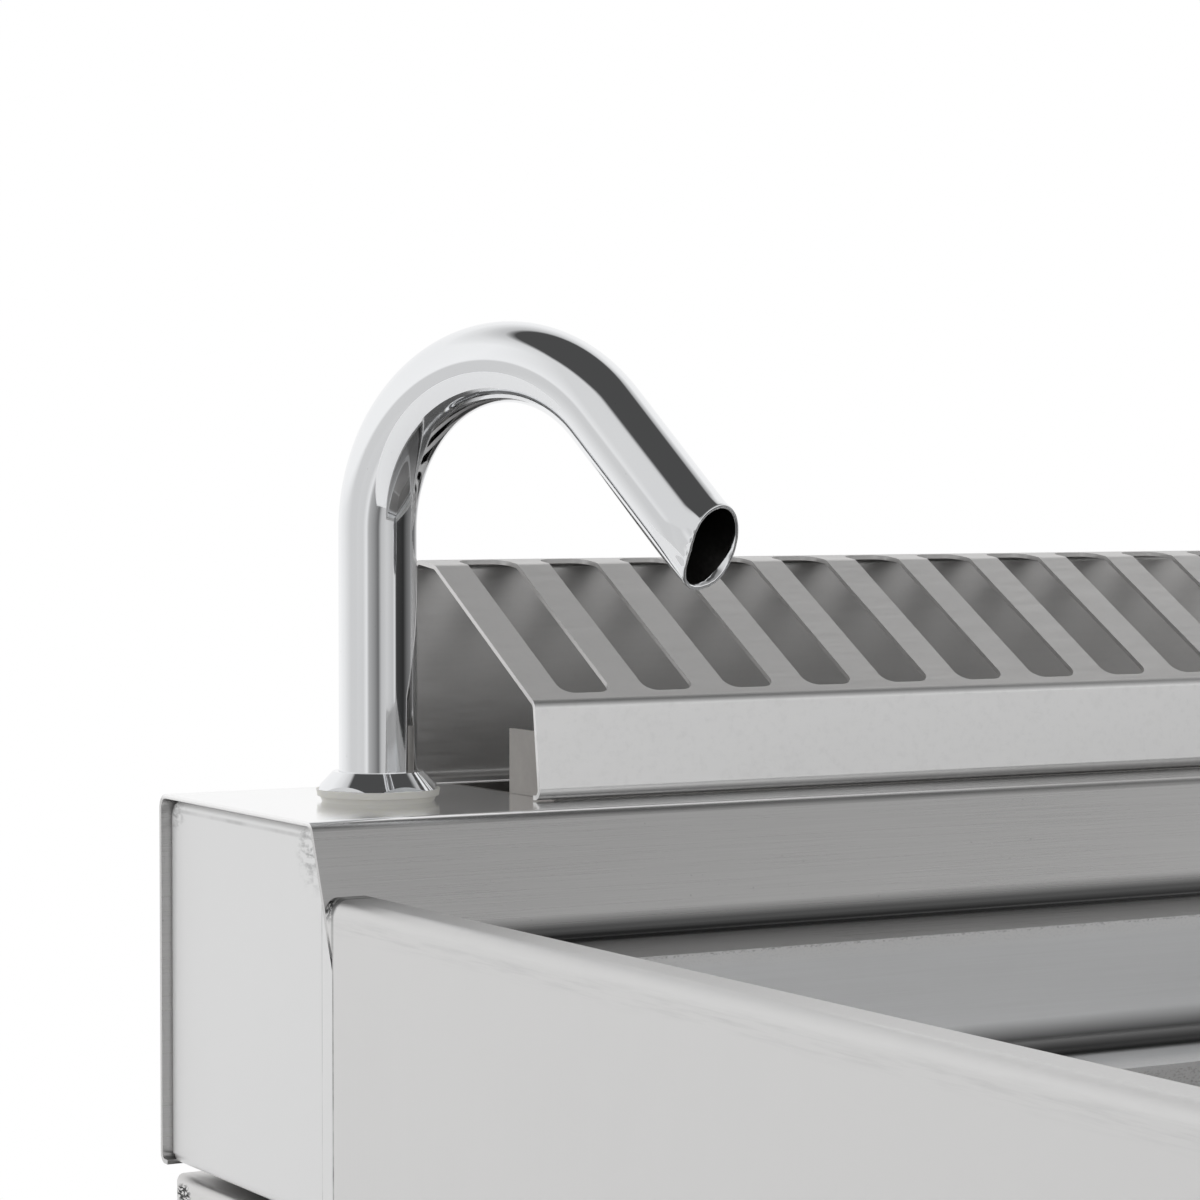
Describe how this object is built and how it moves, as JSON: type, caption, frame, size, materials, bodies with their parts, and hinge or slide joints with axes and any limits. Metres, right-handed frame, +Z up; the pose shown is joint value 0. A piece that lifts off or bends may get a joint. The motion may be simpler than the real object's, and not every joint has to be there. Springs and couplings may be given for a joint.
{
  "type": "countertop water bath",
  "caption": "Countertop gas water bath in stainless steel with a swivelling chrome fill spout, slotted flue grille, stepped basin, heated well and front drain valve.",
  "frame": {"origin": "centre of the bounding box at the bottom, on the worktop the feet stand on", "axes": "+X to the right seen from the front, +Y to the rear, +Z up"},
  "size_m": [0.4, 0.815, 0.4584],
  "materials": {
    "stainless_brushed": "fine brushed stainless sheet",
    "stainless_satin": "satin stainless sheet",
    "chrome": "bright plated",
    "nylon_white": "translucent nylon",
    "brass": "turned",
    "copper_pipe": "drawn copper pipe",
    "knob_black": "moulded",
    "lever_red": "dipped",
    "rubber_black": "matt",
    "zinc_steel": "zinc plated",
    "heat_steel": "heat tinted",
    "ceramic_white": "glazed"
  },
  "bodies": {
    "housing": {"rear_box_shell": "stainless_brushed", "rear_box_end_cap_left": "stainless_satin", "rear_box_end_cap_right": "stainless_satin", "worktop_rim_left": "stainless_satin", "worktop_rim_right": "stainless_satin", "worktop_rim_front": "stainless_satin", "worktop_basin": "stainless_brushed", "well_tank": "stainless_satin", "flue_duct": "heat_steel", "flue_grille": "stainless_satin", "spout_washer": "nylon_white", "spout_collar_nut": "chrome", "spout_shank": "brass", "deck_seal": "rubber_black", "spout_o_ring": "rubber_black", "side_panel_left": "stainless_satin", "side_panel_right": "stainless_satin", "rear_panel": "stainless_satin", "control_panel": "stainless_brushed", "base_tray": "stainless_satin", "foot_bushes": "zinc_steel", "worktop_spacers": "zinc_steel", "combustion_chamber": "heat_steel", "burner_tube_left": "heat_steel", "burner_tube_right": "heat_steel", "burner_brackets": "zinc_steel", "gas_injectors": "brass", "gas_manifold": "zinc_steel", "water_inlet_fitting": "brass", "gas_inlet_fitting": "brass", "water_supply_pipe": "copper_pipe", "gas_supply_pipe": "copper_pipe", "water_valve_body": "brass", "gas_valve_body": "brass", "igniter_body": "knob_black", "water_riser_pipe": "copper_pipe", "riser_union_nut": "brass", "pilot_burner": "brass", "thermocouple": "copper_pipe", "spark_electrode": "ceramic_white", "pilot_pipe": "copper_pipe", "drain_pipe": "stainless_satin", "drain_valve_body": "chrome", "panel_screws": "zinc_steel"},
    "spout": {"fill_spout": "chrome"},
    "water_control": {"water_knob": "knob_black", "water_spindle": "brass"},
    "gas_push": {"gas_push_rod": "brass"},
    "gas_control": {"gas_knob": "knob_black", "gas_spindle": "brass"},
    "igniter": {"igniter_button": "lever_red"},
    "drain_control": {"drain_ball": "chrome", "drain_stem": "zinc_steel", "drain_lever": "lever_red", "drain_lever_nut": "zinc_steel"},
    "basket_plate": {"basket_rest": "stainless_satin"},
    "foot_fl": {"foot_front_left": "knob_black"},
    "foot_fr": {"foot_front_right": "knob_black"},
    "foot_rl": {"foot_rear_left": "knob_black"},
    "foot_rr": {"foot_rear_right": "knob_black"}
  },
  "joints": [
    {"name": "spout_swivel", "type": "hinge", "parent": "housing", "child": "spout", "pos_m": [-0.16, 0.3345, 0.3475], "axis": [0, 0, 1], "range_deg": [-110, 50]},
    {"name": "water_turn", "type": "hinge", "parent": "housing", "child": "water_control", "pos_m": [-0.125, -0.3285, 0.1725], "axis": [0, 1, 0], "range_deg": [0, 90]},
    {"name": "gas_press", "type": "slide", "parent": "housing", "child": "gas_push", "axis": [0, 1, 0], "range_m": [0, 0.004], "stiffness_N_per_m": 1500, "springref_m": -0.004},
    {"name": "gas_turn", "type": "hinge", "parent": "gas_push", "child": "gas_control", "pos_m": [0.125, -0.3285, 0.1725], "axis": [0, 1, 0], "range_deg": [-240, 0]},
    {"name": "igniter_press", "type": "slide", "parent": "housing", "child": "igniter", "axis": [0, 1, 0], "range_m": [0, 0.005], "stiffness_N_per_m": 1500, "springref_m": -0.004},
    {"name": "drain_turn", "type": "hinge", "parent": "housing", "child": "drain_control", "pos_m": [0, -0.359, 0.0675], "axis": [0, 0, 1], "range_deg": [-90, 0]},
    {"name": "basket_plate_lift", "type": "slide", "parent": "housing", "child": "basket_plate", "axis": [0, 0, 1], "range_m": [0, 0.25]},
    {"name": "foot_fl_screw", "type": "slide", "parent": "housing", "child": "foot_fl", "axis": [0, 0, -1], "range_m": [0, 0.012]},
    {"name": "foot_fr_screw", "type": "slide", "parent": "housing", "child": "foot_fr", "axis": [0, 0, -1], "range_m": [0, 0.012]},
    {"name": "foot_rl_screw", "type": "slide", "parent": "housing", "child": "foot_rl", "axis": [0, 0, -1], "range_m": [0, 0.012]},
    {"name": "foot_rr_screw", "type": "slide", "parent": "housing", "child": "foot_rr", "axis": [0, 0, -1], "range_m": [0, 0.012]}
  ]
}
